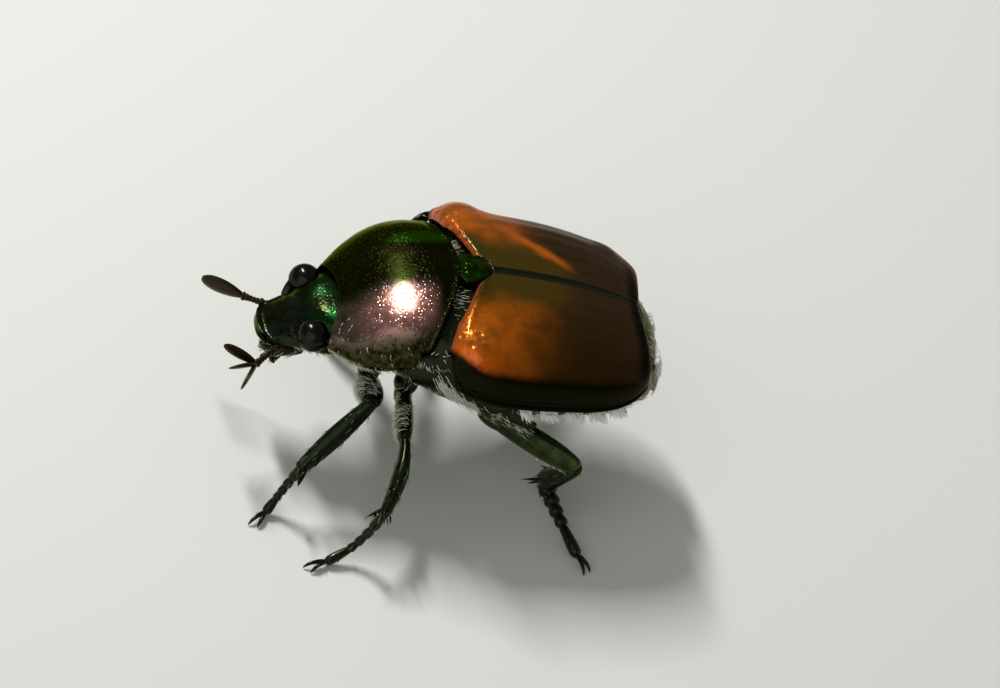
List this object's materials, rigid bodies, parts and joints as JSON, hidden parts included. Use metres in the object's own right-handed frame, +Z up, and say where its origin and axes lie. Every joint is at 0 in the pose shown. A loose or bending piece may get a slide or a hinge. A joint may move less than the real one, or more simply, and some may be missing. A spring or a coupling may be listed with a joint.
{
  "type": "japanese beetle",
  "caption": "Still life-size model of a Japanese beetle standing on six feet, with a domed metallic forebody, hard wing cases, leafy feelers and white side tufts.",
  "frame": {"origin": "on the floor, below the middle of the whole model's box", "axes": "+Z up; the head points along -X, so the beetle's left side faces -Y"},
  "size_m": [0.0122, 0.0128, 0.006],
  "materials": {
    "green_chitin": "dark metallic green horn with a coppery sheen, punctured and polished",
    "dark_chitin": "green-black polished horn with pale hairs",
    "black_foot": "glossy black horn",
    "copper_wing_case": "glossy copper-brown horn, darker and greener towards its edges",
    "brown_feeler": "glossy dark brown horn",
    "eye_black": "finely faceted glossy black"
  },
  "bodies": {
    "root": {"head": "green_chitin", "eye_left": "eye_black", "eye_right": "eye_black", "mouthparts": "brown_feeler", "antenna_left": "brown_feeler", "antenna_right": "brown_feeler", "pronotum": "green_chitin", "scutellum": "green_chitin", "elytron_left": "copper_wing_case", "elytron_right": "copper_wing_case", "thorax": "dark_chitin", "abdomen": "dark_chitin", "pygidium": "green_chitin", "femur_front_left": "dark_chitin", "femur_front_right": "dark_chitin", "femur_middle_left": "dark_chitin", "femur_middle_right": "dark_chitin", "femur_hind_left": "dark_chitin", "femur_hind_right": "dark_chitin", "tibia_front_left": "dark_chitin", "tibia_front_right": "dark_chitin", "tibia_middle_left": "dark_chitin", "tibia_middle_right": "dark_chitin", "tibia_hind_left": "dark_chitin", "tibia_hind_right": "dark_chitin", "tarsus_front_left": "black_foot", "tarsus_front_right": "black_foot", "tarsus_middle_left": "black_foot", "tarsus_middle_right": "black_foot", "tarsus_hind_left": "black_foot", "tarsus_hind_right": "black_foot"}
  },
  "joints": []
}
